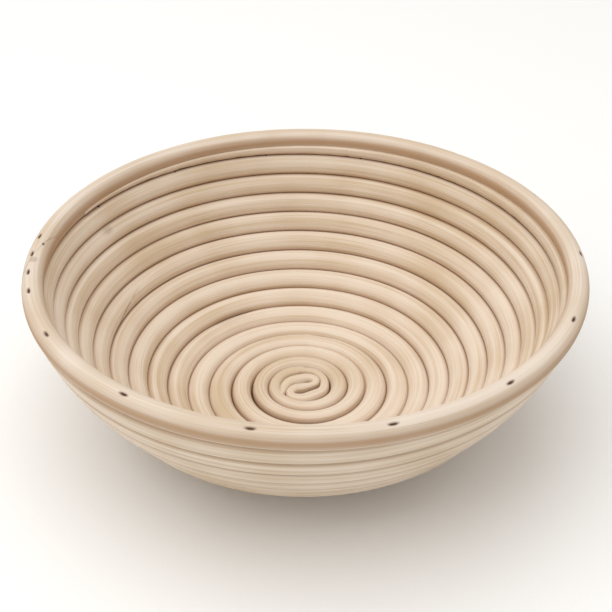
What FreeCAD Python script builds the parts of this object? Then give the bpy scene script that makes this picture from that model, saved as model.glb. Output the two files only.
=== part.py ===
import FreeCAD, Part
import math
import os

# A round proofing basket wound from rattan pith cane.  Two lengths of cane are spliced end to end
# and wound in one spiral, from a folded start in the middle of the base up to a tapered tail at
# the top of the wall.  A third cane, bent into a level ring with its own scarf joint, closes the
# rim.  Every turn is nailed to the one before it with small brads.
#
# Frame: millimetres, +Z up, origin on the resting plane under the centre of the rim ring.
# The coil climbs anticlockwise seen from above.  Azimuths are in degrees from +X.

os.makedirs("parts", exist_ok=True)
Vector = FreeCAD.Vector
UP = Vector(0, 0, 1)

# ---- overall size ----
outer_diameter = 250.0
total_height = 83.0

# ---- canes ----
base_cane_diameter = 10.6
wall_cane_diameter = 10.0
rim_cane_diameter = 9.4
winding_gap = 0.15           # left between neighbouring turns
sanded_depth = 0.3           # taken off the underside so that the basket stands flat

# ---- bowl shape, on the surface that holds the centrelines of the coil ----
knuckle_radius = 33.0        # bend from the flat base into the wall
knuckle_angle = 23.0         # slope where that bend ends
rim_slope = 71.0             # slope of the wall under the rim
rim_overhang = 1.3           # how far the rim ring stands outside the wall it sits on
seat_gap = 0.05              # between the rim ring and the level top of the wall

# ---- coil ----
spiral_azimuth = 288.0       # where the law of the coil leaves the axis
splice_turn = 9.625          # middle of the splice, in turns of the coil
splice_length = 56.0
splice_gap = 0.15
tail_thickness = 0.8         # what is left of the last turn at its tip

# ---- folded start ----
fold_offset = (-1.0, -3.9)   # centre of the fold from the axis
fold_azimuth = 56.0          # direction from one eye of the fold to the other
eye_distance = 8.3           # between the two eyes
shaved_width = 3.6           # the cane is shaved thin where it is folded
shaved_relief = 0.2          # the shaved part is lower than the full cane by this much
free_arm_angle = 140.0       # length of the short free end, round the fold
full_start_turn = 3.45       # where the cane has its full round section
shoulder_angle = 6.0         # overlap of the shaved and the full section
easing = 1.3                 # how quickly the turns round the fold ease into the law

# ---- brads ----
brad_diameter = 1.2
brad_length = 15.0
brad_recess = 0.5            # heads are sunk by this much
brad_hole_clearance = 0.02   # on the radius
base_brad_step = 103.0       # between brads along the base cane, in degrees
wall_brad_step = 56.0        # along the wall cane
first_brad_turn = 3.6        # the turns inside this one are held by the brad of the fold
splice_brad_step = 9.0
rim_brad_step = 25.0
rim_brad_azimuth = 210.5     # first brad of the ring after its scarf joint
rim_side_azimuth = 345.0     # from here round to the scarf the brads go in from the outer side
rim_side_slope = 52.0        # slope of those brads
rim_scarf_azimuth = 180.0
rim_scarf_angle = 18.0       # length of the scarf joint, round the ring
rim_scarf_gap = 0.15
rim_scarf_brad_azimuth = 173.5
rim_scarf_brad_step = 7.0
rim_scarf_brad_count = 4

# ---- worked out from the sizes above ----
base_radius = base_cane_diameter / 2
wall_radius = wall_cane_diameter / 2
rim_radius = rim_cane_diameter / 2
base_pitch = base_cane_diameter + winding_gap
wall_pitch = wall_cane_diameter + winding_gap
mixed_pitch = (base_pitch + wall_pitch) / 2
base_plane = base_radius - sanded_depth
ring_radius = outer_diameter / 2 - rim_radius
ring_height = total_height - rim_radius
seat_height = ring_height - rim_radius - seat_gap
eye_radius = eye_distance / 2
fold_centre = Vector(fold_offset[0], fold_offset[1], base_plane)
fold_edge = eye_distance + shaved_width / 2
exit_turn = (fold_azimuth - 180.0 + 360.0 - spiral_azimuth) / 360.0
clear_turn = exit_turn + 0.5

knuckle_slope = math.radians(knuckle_angle)
top_slope = math.radians(rim_slope)
side_slope = math.radians(rim_side_slope)
knuckle_run = knuckle_radius * math.sin(knuckle_slope)
knuckle_rise = knuckle_radius * (1 - math.cos(knuckle_slope))
wall_rise = seat_height - base_plane - knuckle_rise
wall_sweep = wall_rise / (math.cos(knuckle_slope) - math.cos(top_slope))
wall_run = wall_sweep * (math.sin(top_slope) - math.sin(knuckle_slope))
flat_radius = ring_radius - rim_overhang - knuckle_run - wall_run
knuckle_end = flat_radius + knuckle_radius * knuckle_slope
seat_distance = knuckle_end + wall_sweep * (top_slope - knuckle_slope)


def surface(distance):
    """Radius, height and slope of the coil surface, at a distance along it from the axis."""
    if distance < flat_radius:
        return distance, base_plane, 0.0
    if distance < knuckle_end:
        slope = (distance - flat_radius) / knuckle_radius
        radius = flat_radius + knuckle_radius * math.sin(slope)
        return radius, base_plane + knuckle_radius * (1 - math.cos(slope)), slope
    slope = min(knuckle_slope + (distance - knuckle_end) / wall_sweep, top_slope)
    straight = max(0.0, distance - seat_distance)
    radius = flat_radius + knuckle_run + wall_sweep * (math.sin(slope) - math.sin(knuckle_slope))
    height = base_plane + knuckle_rise + wall_sweep * (math.cos(knuckle_slope) - math.cos(slope))
    return radius + straight * math.cos(slope), height + straight * math.sin(slope), slope


def coil_distance(turn):
    """Distance of the coil's centreline along the surface: each turn lies beside the last."""
    base_turns = min(turn, splice_turn)
    mixed_turns = min(max(turn - splice_turn, 0.0), 1.0)
    wall_turns = max(turn - splice_turn - 1.0, 0.0)
    return base_turns * base_pitch + mixed_turns * mixed_pitch + wall_turns * wall_pitch


def coil_azimuth(turn):
    return math.radians(spiral_azimuth + 360.0 * turn)


def turn_at(azimuth, near_turn):
    """The turn nearest to near_turn at which the coil passes an azimuth."""
    part = (azimuth - spiral_azimuth) / 360.0
    return part + round(near_turn - part)


def coil_point(turn, aside=0.0):
    """Point on the coil's centreline, or moved aside up the wall by a distance."""
    radius, height, _ = surface(coil_distance(turn) + aside)
    azimuth = coil_azimuth(turn)
    return Vector(radius * math.cos(azimuth), radius * math.sin(azimuth), height)


def coil_tangent(turn):
    small = 1e-4
    return (coil_point(turn + small) - coil_point(turn - small)).normalize()


def bend(start, tangent, end):
    """The circular bend from start, along tangent, to end: centre, axis and angle in degrees."""
    chord = end - start
    angle = tangent.getAngle(chord)
    axis = tangent.cross(chord).normalize()
    centre = start + axis.cross(tangent) * (chord.Length / (2 * math.sin(angle)))
    return centre, axis, math.degrees(2 * angle)


def bends_through(points, tangents):
    """Two bends for each span between points, tangent to each other and to the given tangents."""
    bends = []
    for index in range(len(points) - 1):
        start, end = points[index], points[index + 1]
        leave, arrive = tangents[index], tangents[index + 1]
        span = end - start
        both = leave + arrive
        spread = 2 * (1 - leave.dot(arrive))
        along = span.dot(both)
        reach = (math.sqrt(along ** 2 + spread * span.dot(span)) - along) / spread
        middle = (start + end + (leave - arrive) * reach) * 0.5
        meeting = (end - arrive * reach) - (start + leave * reach)
        bends.append(bend(start, leave, middle))
        bends.append(bend(middle, meeting.normalize(), end))
    return bends


def coil_bends(first_turn, last_turn, steps_per_turn):
    count = math.ceil((last_turn - first_turn) * steps_per_turn)
    turns = [first_turn + (last_turn - first_turn) * step / count for step in range(count + 1)]
    return bends_through([coil_point(turn) for turn in turns], [coil_tangent(turn) for turn in turns])


def sweep(section, bends):
    """A solid swept by turning a closed section through each bend in turn."""
    faces = [Part.Face(section)]
    for centre, axis, angle in bends:
        faces += section.revolve(centre, axis, angle).Faces
        section = section.rotated(centre, axis, angle)
    faces.append(Part.Face(section))
    shell = Part.makeShell(faces)
    shell.sewShape()
    solid = Part.makeSolid(shell)
    if solid.Volume < 0:
        solid.reverse()
    return solid


def round_section(centre, tangent, radius):
    return Part.Wire([Part.Circle(centre, tangent, radius).toShape()])


def shaved_section(centre, across):
    """Upright strip with round edges, for the shaved part of the cane."""
    half_width = shaved_width / 2
    half_side = base_radius - shaved_relief - half_width
    left = across * -half_width
    right = across * half_width
    top = UP * half_side
    crown = UP * (half_side + half_width)
    upper = Part.Arc(centre + left + top, centre + crown, centre + right + top).toShape()
    lower = Part.Arc(centre + right - top, centre - crown, centre + left - top).toShape()
    sides = [Part.makeLine(centre + right + top, centre + right - top),
             Part.makeLine(centre + left - top, centre + left + top)]
    return Part.Wire([upper, sides[0], lower, sides[1]])


def around(centre, radius, azimuth):
    angle = math.radians(azimuth)
    return centre + Vector(math.cos(angle), math.sin(angle), 0) * radius


def law_edge(turn):
    """Distance from the axis of the outer edge of a base turn that follows the law."""
    return coil_distance(turn) + base_pitch / 2


def outer_edge(turn):
    """Outer edge of the base cane: the fold pushes the first turns outward, less and less."""
    share = max(0.0, (full_start_turn - 1.0 - turn) / (full_start_turn - 1.0 - exit_turn))
    azimuth = coil_azimuth(turn)
    swell = fold_edge - law_edge(exit_turn)
    towards_fold = fold_offset[0] * math.cos(azimuth) + fold_offset[1] * math.sin(azimuth)
    return law_edge(turn) + (swell + towards_fold) * share ** easing


def inner_edge(turn):
    """Inner edge of the shaved turns: along the fold at first, then along the turn before."""
    if turn >= exit_turn + 1.0:
        return outer_edge(turn - 1.0) + winding_gap
    azimuth = coil_azimuth(turn)
    clear = min(1.0, (turn - exit_turn) / (clear_turn - exit_turn))
    around_fold = fold_edge - shaved_width + (shaved_width + winding_gap) * clear
    along = fold_offset[0] * math.cos(azimuth) + fold_offset[1] * math.sin(azimuth)
    aside = fold_offset[1] * math.cos(azimuth) - fold_offset[0] * math.sin(azimuth)
    return along + math.sqrt(around_fold ** 2 - aside ** 2)


def edge_line(edge, first_turn, last_turn):
    """Smooth line along an edge of the shaved turns, in the plane of the rest face."""
    count = math.ceil((last_turn - first_turn) * 24)
    turns = [first_turn + (last_turn - first_turn) * step / count for step in range(count + 1)]
    points = [Vector(math.cos(coil_azimuth(turn)), math.sin(coil_azimuth(turn)), 0) * edge(turn)
              for turn in turns]
    line = Part.BSplineCurve()
    line.interpolate(points)
    return line.toShape()


def make_shaved_turns():
    """The turns round the fold: shaved flat on both sides, wider and wider up to the full cane."""
    last_turn = full_start_turn + shoulder_angle / 360.0
    outer = edge_line(outer_edge, exit_turn, last_turn)
    inner = [edge_line(inner_edge, exit_turn, clear_turn),
             edge_line(inner_edge, clear_turn, exit_turn + 1.0),
             edge_line(inner_edge, exit_turn + 1.0, last_turn)]
    ends = [Part.makeLine(inner[0].Vertexes[0].Point, outer.Vertexes[0].Point),
            Part.makeLine(inner[-1].Vertexes[-1].Point, outer.Vertexes[-1].Point)]
    outline = Part.Wire(Part.__sortEdges__([outer] + inner + ends))
    top = base_cane_diameter - sanded_depth - shaved_relief
    return Part.Face(outline).extrude(UP * top)


def make_fold():
    """The thin start of the base cane: the free arm and the two hairpins."""
    eye_a = around(fold_centre, eye_radius, fold_azimuth)
    eye_b = around(fold_centre, eye_radius, fold_azimuth + 180.0)
    start = around(fold_centre, 2 * eye_radius, fold_azimuth + free_arm_angle)
    outward = (start - fold_centre).normalize()
    overlap = math.degrees(shaved_width / (4 * eye_radius))
    bends = [(fold_centre, UP * -1, free_arm_angle), (eye_a, UP * -1, 180.0), (eye_b, UP, 180.0),
             (fold_centre, UP, overlap)]
    return sweep(shaved_section(start, outward), bends)


def half_splice_angle():
    radius, _, _ = surface(coil_distance(splice_turn))
    return splice_length / (4 * math.pi * radius)


def splice_prism(side):
    """Block on the outer (+1) or inner (-1) side of the slanting cut through the spliced turn."""
    half = half_splice_angle()
    reach = base_radius
    points = [coil_point(splice_turn - half, reach),
              coil_point(splice_turn),
              coil_point(splice_turn + half, -reach)]
    normal = (points[1] - points[0]).cross(points[2] - points[0]).normalize()
    along = (points[2] - points[0]).normalize()
    aside = normal.cross(along)
    if aside.dot(points[1] - Vector(0, 0, points[1].z)) < 0:
        aside = aside * -1
    points = [point - aside * (side * splice_gap / 2) for point in points]
    far = aside * (side * 2 * base_cane_diameter)
    splay = along * base_cane_diameter
    cut = Part.Arc(points[0], points[1], points[2]).toShape()
    outline = Part.makePolygon([points[2], points[2] + far + splay, points[0] + far - splay, points[0]])
    depth = normal * base_cane_diameter
    face = Part.Face(Part.Wire([cut] + outline.Edges))
    return face.translated(depth * -1).extrude(depth * 2)


def brad(head, direction, clearance=0.0):
    return Part.makeCylinder(brad_diameter / 2 + clearance, brad_length, head, direction)


def coil_brad_seat(turn, radius):
    """Head and direction of a brad driven through a turn into the one before it."""
    direction = (coil_point(turn - 1.0) - coil_point(turn)).normalize()
    return coil_point(turn) - direction * (radius - brad_recess), direction


def rim_brad_seat(azimuth, slope):
    """Head and direction of a brad driven down through the ring, at a slope, into the wall."""
    outward = around(Vector(), 1.0, azimuth)
    direction = outward * -math.cos(slope) - UP * math.sin(slope)
    centre = outward * ring_radius + UP * ring_height
    return centre - direction * (rim_radius - brad_recess), direction


def fold_brad_seat():
    """Head and direction of the brad that pins the fold, driven in between its two eyes."""
    across = around(Vector(), 1.0, fold_azimuth - 90.0)
    return fold_centre + across * (fold_edge - brad_recess), across * -1


def turns_between(first_turn, last_turn, step_degrees):
    count = int((last_turn - first_turn) * 360.0 / step_degrees) + 1
    return [first_turn + step * step_degrees / 360.0 for step in range(count)]


# ---- where every brad goes ----
tail_turn = splice_turn + 1.0
tail_distance = seat_distance + wall_radius - tail_thickness
tail_turn += (tail_distance - coil_distance(tail_turn)) / wall_pitch
full_width_turn = tail_turn - 1.0
splice_half = half_splice_angle()
clear_of_splice = splice_half + splice_brad_step / 360.0

base_turns = turns_between(first_brad_turn, splice_turn - clear_of_splice, base_brad_step)
wall_turns = turns_between(splice_turn + clear_of_splice, full_width_turn, wall_brad_step)
splice_turns = [splice_turn + step * splice_brad_step / 360.0 for step in (-1, 0, 1)]
rim_brads_around = int((360.0 - rim_scarf_angle) / rim_brad_step)
rim_azimuths = [rim_brad_azimuth + step * rim_brad_step for step in range(rim_brads_around)]
rim_seats = [rim_brad_seat(azimuth, top_slope if azimuth < rim_side_azimuth else side_slope)
             for azimuth in rim_azimuths]
scarf_azimuths = [rim_scarf_brad_azimuth + step * rim_scarf_brad_step
                  for step in range(rim_scarf_brad_count)]
seats = {
    "fold_brad": [fold_brad_seat()],
    "base_coil_brads": [coil_brad_seat(turn, base_radius) for turn in base_turns],
    "splice_brads": [coil_brad_seat(turn, wall_radius) for turn in splice_turns],
    "wall_coil_brads": [coil_brad_seat(turn, wall_radius) for turn in wall_turns],
    "rim_ring_brads": rim_seats,
    "rim_scarf_brads": [rim_brad_seat(azimuth, top_slope) for azimuth in scarf_azimuths],
}


def drilled(shape, *groups):
    """The shape with a hole for each brad of the named groups."""
    holes = [brad(head, direction, brad_hole_clearance)
             for group in groups for head, direction in seats[group]]
    return shape.cut(holes)


def make_base_cane():
    last_turn = splice_turn + splice_half
    section = round_section(coil_point(full_start_turn), coil_tangent(full_start_turn), base_radius)
    full = sweep(section, coil_bends(full_start_turn, last_turn, 10))
    full = full.cut(splice_prism(1))
    cane = full.fuse([make_shaved_turns(), make_fold()])
    sanded = Part.makeCylinder(outer_diameter, total_height)
    return drilled(cane.common(sanded), "fold_brad", "base_coil_brads", "splice_brads", "wall_coil_brads")


def make_wall_cane():
    first_turn = splice_turn - splice_half
    section = round_section(coil_point(first_turn), coil_tangent(first_turn), wall_radius)
    cane = sweep(section, coil_bends(first_turn, tail_turn, 8))
    cane = cane.cut(splice_prism(-1))
    level = Part.makeCylinder(outer_diameter, seat_height)
    return drilled(cane.common(level), "splice_brads", "wall_coil_brads", "rim_ring_brads", "rim_scarf_brads")


def make_rim_ring():
    ring = Part.makeTorus(ring_radius, rim_radius, Vector(0, 0, ring_height))
    half = rim_scarf_angle / 2
    inner_end = around(Vector(), ring_radius - rim_radius, rim_scarf_azimuth - half)
    outer_end = around(Vector(), ring_radius + rim_radius, rim_scarf_azimuth + half)
    along = (outer_end - inner_end).normalize()
    across = UP.cross(along)
    corner = inner_end - along * rim_radius - across * (rim_scarf_gap / 2)
    length = (outer_end - inner_end).Length + 2 * rim_radius
    edge = Part.makeLine(corner, corner + along * length)
    saw_cut = edge.extrude(across * rim_scarf_gap).extrude(UP * (total_height + rim_radius))
    return drilled(ring.cut(saw_cut), "rim_ring_brads", "rim_scarf_brads")


def make_brads(group):
    return Part.makeCompound([brad(head, direction) for head, direction in seats[group]])


nodes = {
    "base_coil_cane": make_base_cane(),
    "wall_coil_cane": make_wall_cane(),
    "rim_ring_cane": make_rim_ring(),
}
for group_name in seats:
    nodes[group_name] = make_brads(group_name)

for node_name, shape in nodes.items():
    box = shape.BoundBox
    print(f"{node_name}: {len(shape.Solids)} solids, {len(shape.Faces)} faces, valid {shape.isValid()}, "
          f"{shape.Volume / 1000:.1f} cm3, x {box.XMin:.1f}..{box.XMax:.1f}, "
          f"z {box.ZMin:.2f}..{box.ZMax:.2f}")
    shape.exportStep(f"parts/{node_name}.step")
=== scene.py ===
"""A round proofing basket wound from rattan pith cane, dressed for a soft studio light.

Three lengths of cane make the basket: one wound from a folded start into the base, one spliced to
it and wound up the wall, and one bent into the rim ring.  Small steel brads hold them together.
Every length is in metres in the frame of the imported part, with +Z up and the basket at rest.
"""

import logging
import math
from dataclasses import dataclass, field
from enum import Enum
from typing import Optional, Sequence, Union

import bpy
import numpy as np
from mathutils import Matrix, Vector


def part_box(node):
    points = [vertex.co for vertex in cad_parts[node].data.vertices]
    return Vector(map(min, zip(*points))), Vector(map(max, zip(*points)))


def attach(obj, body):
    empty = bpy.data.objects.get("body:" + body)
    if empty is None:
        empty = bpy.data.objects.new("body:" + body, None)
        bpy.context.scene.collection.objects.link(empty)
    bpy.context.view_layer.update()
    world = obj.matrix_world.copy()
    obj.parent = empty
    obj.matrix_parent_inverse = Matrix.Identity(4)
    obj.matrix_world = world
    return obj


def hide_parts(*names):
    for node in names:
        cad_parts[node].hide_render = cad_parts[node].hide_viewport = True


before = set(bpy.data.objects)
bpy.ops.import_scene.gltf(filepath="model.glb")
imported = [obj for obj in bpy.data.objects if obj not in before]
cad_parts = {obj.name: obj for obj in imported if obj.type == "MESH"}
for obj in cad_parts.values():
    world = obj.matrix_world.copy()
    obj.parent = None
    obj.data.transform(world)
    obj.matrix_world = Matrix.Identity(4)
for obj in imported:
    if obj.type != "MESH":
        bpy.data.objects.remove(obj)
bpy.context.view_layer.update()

MM = 0.001
BODY = "root"
LOG = logging.getLogger("basket")

Value = Union[float, int, bool, str, tuple, bpy.types.NodeSocket, bpy.types.Material]


# ---------------------------------------------------------------- small shared helpers


def linear(hex_colour: str) -> tuple[float, float, float, float]:
    """Turns an sRGB hex colour into the linear values that a shader takes.

    Args:
        hex_colour: Six hex digits, such as "E8D6BC".

    Returns:
        Red, green, blue and an alpha of one.
    """
    channels = [int(hex_colour[index : index + 2], 16) / 255 for index in (0, 2, 4)]
    light = [c / 12.92 if c <= 0.04045 else ((c + 0.055) / 1.055) ** 2.4 for c in channels]
    return (light[0], light[1], light[2], 1.0)


def add_node(
    tree: bpy.types.NodeTree,
    kind: str,
    settings: Optional[dict[str, object]] = None,
    inputs: Optional[dict[Union[str, int], Value]] = None,
) -> bpy.types.Node:
    """Adds one node to a tree, with its settings and its inputs.

    Args:
        tree: The node tree.
        kind: The node's type name.
        settings: Properties of the node, by name.
        inputs: What goes into each input, by name or number: a socket to link, or a value.

    Returns:
        The new node.
    """
    node = tree.nodes.new(kind)
    for name, setting in (settings or {}).items():
        setattr(node, name, setting)
    for name, value in (inputs or {}).items():
        if isinstance(value, bpy.types.NodeSocket):
            tree.links.new(value, node.inputs[name])
        else:
            node.inputs[name].default_value = value
    return node


def link_object(name: str, data: bpy.types.ID) -> bpy.types.Object:
    """Makes an object from a mesh, a light or a camera and links it to the scene."""
    made = bpy.data.objects.new(name, data)
    bpy.context.scene.collection.objects.link(made)
    return made


def name_sockets(tree: bpy.types.NodeTree, counts: Sequence[str], sizes: dict[str, float]) -> None:
    """Names the inputs and the output of a tree that makes a piece.

    Args:
        tree: The tree.
        counts: Names of the inputs that are whole numbers.
        sizes: Names of the inputs that are lengths and other numbers, with their usual values.
    """
    face = tree.interface
    face.new_socket("Geometry", in_out="INPUT", socket_type="NodeSocketGeometry")
    face.new_socket("Material", in_out="INPUT", socket_type="NodeSocketMaterial")
    for name in counts:
        face.new_socket(name, in_out="INPUT", socket_type="NodeSocketInt")
    for name, value in sizes.items():
        face.new_socket(name, in_out="INPUT", socket_type="NodeSocketFloat").default_value = value
    face.new_socket("Geometry", in_out="OUTPUT", socket_type="NodeSocketGeometry")


class Formula:
    """A number in a node tree, so that a rule can be written as a formula."""

    def __init__(self, tree: bpy.types.NodeTree, socket: Value) -> None:
        """Wraps a socket or a plain number of the tree."""
        self.tree = tree
        self.socket = socket

    def math(self, operation: str, *others: Union["Formula", float]) -> "Formula":
        """Adds one Math node.

        Args:
            operation: The node's operation, such as "MULTIPLY".
            others: The second and third numbers, where the operation has them.

        Returns:
            The result.
        """
        values = [self.socket] + [o.socket if isinstance(o, Formula) else o for o in others]
        node = add_node(self.tree, "ShaderNodeMath", {"operation": operation}, dict(enumerate(values)))
        return Formula(self.tree, node.outputs[0])

    def __add__(self, other: Union["Formula", float]) -> "Formula":
        """The sum."""
        return self.math("ADD", other)

    def __sub__(self, other: Union["Formula", float]) -> "Formula":
        """The difference."""
        return self.math("SUBTRACT", other)

    def __mul__(self, other: Union["Formula", float]) -> "Formula":
        """The product."""
        return self.math("MULTIPLY", other)

    def __truediv__(self, other: Union["Formula", float]) -> "Formula":
        """The quotient."""
        return self.math("DIVIDE", other)

    def clamp(self, low: Union["Formula", float], high: Union["Formula", float]) -> "Formula":
        """The number, held between two limits."""
        return self.math("MAXIMUM", low).math("MINIMUM", high)


class Arrow:
    """A vector in a node tree."""

    def __init__(self, tree: bpy.types.NodeTree, socket: Value) -> None:
        """Wraps a vector socket of the tree."""
        self.tree = tree
        self.socket = socket

    def vector_math(self, operation: str, inputs: dict[Union[str, int], Value]) -> "Arrow":
        """Adds one Vector Math node that starts from this vector.

        Args:
            operation: The node's operation.
            inputs: What goes into its other inputs.

        Returns:
            The result.
        """
        settings = {"operation": operation}
        node = add_node(self.tree, "ShaderNodeVectorMath", settings, {0: self.socket, **inputs})
        return Arrow(self.tree, node.outputs["Vector"])

    def __add__(self, other: "Arrow") -> "Arrow":
        """The sum of two vectors."""
        return self.vector_math("ADD", {1: other.socket})

    def __sub__(self, other: "Arrow") -> "Arrow":
        """The difference of two vectors."""
        return self.vector_math("SUBTRACT", {1: other.socket})

    def __mul__(self, length: Formula) -> "Arrow":
        """The vector made longer or shorter."""
        return self.vector_math("SCALE", {"Scale": length.socket})

    def unit(self) -> "Arrow":
        """The vector with a length of one."""
        return self.vector_math("NORMALIZE", {})


def arrow_of(x: Formula, y: Formula, z: Formula) -> Arrow:
    """A vector made of three numbers.

    Args:
        x: Along X.
        y: Along Y.
        z: Along Z.

    Returns:
        The vector.
    """
    inputs = {0: x.socket, 1: y.socket, 2: z.socket}
    return Arrow(x.tree, add_node(x.tree, "ShaderNodeCombineXYZ", None, inputs).outputs[0])


def smooth_step(values: np.ndarray, start: float, end: float) -> np.ndarray:
    """A soft change from zero to one.

    Args:
        values: Where to find the change.
        start: Where it starts.
        end: Where it ends.

    Returns:
        The change at each value.
    """
    part = np.clip((values - start) / (end - start), 0.0, 1.0)
    return part * part * (3.0 - 2.0 * part)


def volume_of(mesh: bpy.types.Mesh) -> float:
    """The volume that a closed mesh holds; it is negative where the faces point inwards."""
    mesh.calc_loop_triangles()
    corners = np.zeros(len(mesh.loop_triangles) * 3, np.int32)
    mesh.loop_triangles.foreach_get("vertices", corners)
    points = read_points(mesh)[corners].reshape(-1, 3, 3)
    return float(np.einsum("ij,ij->i", points[:, 0], np.cross(points[:, 1], points[:, 2])).sum() / 6)


def read_points(mesh: bpy.types.Mesh) -> np.ndarray:
    """The places of a mesh's vertices, one row each."""
    flat = np.zeros(len(mesh.vertices) * 3, np.float32)
    mesh.vertices.foreach_get("co", flat)
    return flat.reshape(-1, 3)


# ---------------------------------------------------------------- the shape of the bowl


@dataclass(frozen=True)
class BowlLaw:
    """The rule that the centreline of the wound cane follows.

    The coil lies on a surface of revolution: a flat base, a tight bend, and a long shallow sweep up
    to the rim.  Along that surface each turn lies beside the one before it.  The wound coil lies a
    little to one side of the ring's axis, by the coil shift.
    """

    outer_diameter: float
    total_height: float
    base_cane: float = 10.6 * MM
    wall_cane: float = 10.0 * MM
    rim_cane: float = 9.4 * MM
    winding_gap: float = 0.15 * MM
    sanded_depth: float = 0.3 * MM
    knuckle_radius: float = 33.0 * MM
    knuckle_slope: float = math.radians(23.0)
    top_slope: float = math.radians(71.0)
    rim_overhang: float = 1.3 * MM
    seat_gap: float = 0.05 * MM
    start_azimuth: float = math.radians(288.0)
    splice_turn: float = 9.625
    splice_length: float = 56.0 * MM
    tail_thickness: float = 0.8 * MM
    fold_centre: tuple[float, float] = (-1.0 * MM, -2.6 * MM)
    fold_edge: float = 10.1 * MM
    exit_turn: float = -0.1444
    full_turn: float = 3.45
    easing: float = 1.3
    coil_shift: tuple[float, float] = (-0.8 * MM, -1.9 * MM)

    @property
    def base_pitch(self) -> float:
        """From one base turn to the next."""
        return self.base_cane + self.winding_gap

    @property
    def wall_pitch(self) -> float:
        """From one wall turn to the next."""
        return self.wall_cane + self.winding_gap

    @property
    def base_plane(self) -> float:
        """Height of the centreline on the flat base."""
        return self.base_cane / 2 - self.sanded_depth

    @property
    def ring_radius(self) -> float:
        """Radius of the rim ring's centreline."""
        return (self.outer_diameter - self.rim_cane) / 2

    @property
    def ring_height(self) -> float:
        """Height of the rim ring's centreline."""
        return self.total_height - self.rim_cane / 2

    @property
    def seat_height(self) -> float:
        """Height of the level top of the wall, under the rim ring."""
        return self.ring_height - self.rim_cane / 2 - self.seat_gap

    @property
    def wall_sweep(self) -> float:
        """Radius of the long bend of the wall."""
        rise = self.knuckle_radius * (1 - math.cos(self.knuckle_slope))
        left = self.seat_height - self.base_plane - rise
        return left / (math.cos(self.knuckle_slope) - math.cos(self.top_slope))

    @property
    def flat_radius(self) -> float:
        """Radius at which the flat base ends."""
        wall_run = self.wall_sweep * (math.sin(self.top_slope) - math.sin(self.knuckle_slope))
        knuckle_run = self.knuckle_radius * math.sin(self.knuckle_slope)
        return self.ring_radius - self.rim_overhang - knuckle_run - wall_run

    @property
    def knuckle_end(self) -> float:
        """Distance along the surface at which the tight bend ends."""
        return self.flat_radius + self.knuckle_radius * self.knuckle_slope

    @property
    def seat_distance(self) -> float:
        """Distance along the surface at which the wall reaches the rim."""
        return self.knuckle_end + self.wall_sweep * (self.top_slope - self.knuckle_slope)

    @property
    def tail_turn(self) -> float:
        """The turn at which the last of the wall cane runs out under the rim."""
        distance = self.seat_distance + self.wall_cane / 2 - self.tail_thickness
        mixed = (self.base_pitch + self.wall_pitch) / 2
        reached = self.splice_turn * self.base_pitch + mixed
        return self.splice_turn + 1.0 + (distance - reached) / self.wall_pitch

    def distance(self, turn: np.ndarray) -> np.ndarray:
        """Distance of the centreline from the axis, along the surface."""
        mixed = (self.base_pitch + self.wall_pitch) / 2
        reached = np.minimum(turn, self.splice_turn) * self.base_pitch
        reached = reached + np.clip(turn - self.splice_turn, 0.0, 1.0) * mixed
        return reached + np.maximum(turn - self.splice_turn - 1.0, 0.0) * self.wall_pitch

    def azimuth(self, turn: np.ndarray) -> np.ndarray:
        """Azimuth of the centreline, in radians."""
        return self.start_azimuth + 2 * math.pi * turn

    def radius_and_height(self, turn: np.ndarray) -> tuple[np.ndarray, np.ndarray]:
        """Where the centreline is, turn by turn.

        Args:
            turn: Turns of the coil.

        Returns:
            Distance from the axis, and height.
        """
        distance = self.distance(turn)
        bent = np.clip((distance - self.flat_radius) / self.knuckle_radius, 0.0, self.knuckle_slope)
        swept = self.knuckle_slope + (distance - self.knuckle_end) / self.wall_sweep
        swept = np.clip(swept, self.knuckle_slope, self.top_slope)
        straight = np.maximum(distance - self.seat_distance, 0.0)
        radius = np.minimum(distance, self.flat_radius) + self.knuckle_radius * np.sin(bent)
        radius = radius + self.wall_sweep * (np.sin(swept) - math.sin(self.knuckle_slope))
        height = self.base_plane + self.knuckle_radius * (1 - np.cos(bent))
        height = height + self.wall_sweep * (math.cos(self.knuckle_slope) - np.cos(swept))
        radius = radius + straight * math.cos(self.top_slope)
        return radius, height + straight * math.sin(self.top_slope)

    def even_half_width(self, turn: np.ndarray) -> np.ndarray:
        """Half the room that a turn has between the turn before and the turn after."""
        return (self.distance(turn + 1.0) - self.distance(turn - 1.0)) / 4

    def law_edge(self, turn: np.ndarray) -> np.ndarray:
        """Distance from the axis of the outer edge of a base turn that follows the rule."""
        return self.distance(turn) + self.base_pitch / 2

    def outer_edge(self, turn: np.ndarray) -> np.ndarray:
        """Outer edge of the base cane: the fold pushes the first turns outward, less and less.

        Args:
            turn: Turns of the coil.

        Returns:
            Distances from the axis.
        """
        eased = self.full_turn - 1.0
        share = np.clip((eased - turn) / (eased - self.exit_turn), 0.0, None) ** self.easing
        azimuth = self.azimuth(turn)
        swell = self.fold_edge - float(self.law_edge(np.array([self.exit_turn]))[0])
        towards = self.fold_centre[0] * np.cos(azimuth) + self.fold_centre[1] * np.sin(azimuth)
        return self.law_edge(turn) + (swell + towards) * share

    def half_splice(self) -> float:
        """Half the length of the splice, in turns."""
        radius, _ = self.radius_and_height(np.array([self.splice_turn]))
        return self.splice_length / (4 * math.pi * float(radius[0]))


# ---------------------------------------------------------------- finishes


def blank_material(name: str) -> bpy.types.Material:
    """A new material with an empty node tree."""
    material = bpy.data.materials.new(name)
    material.use_nodes = True
    material.node_tree.nodes.clear()
    return material


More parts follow.
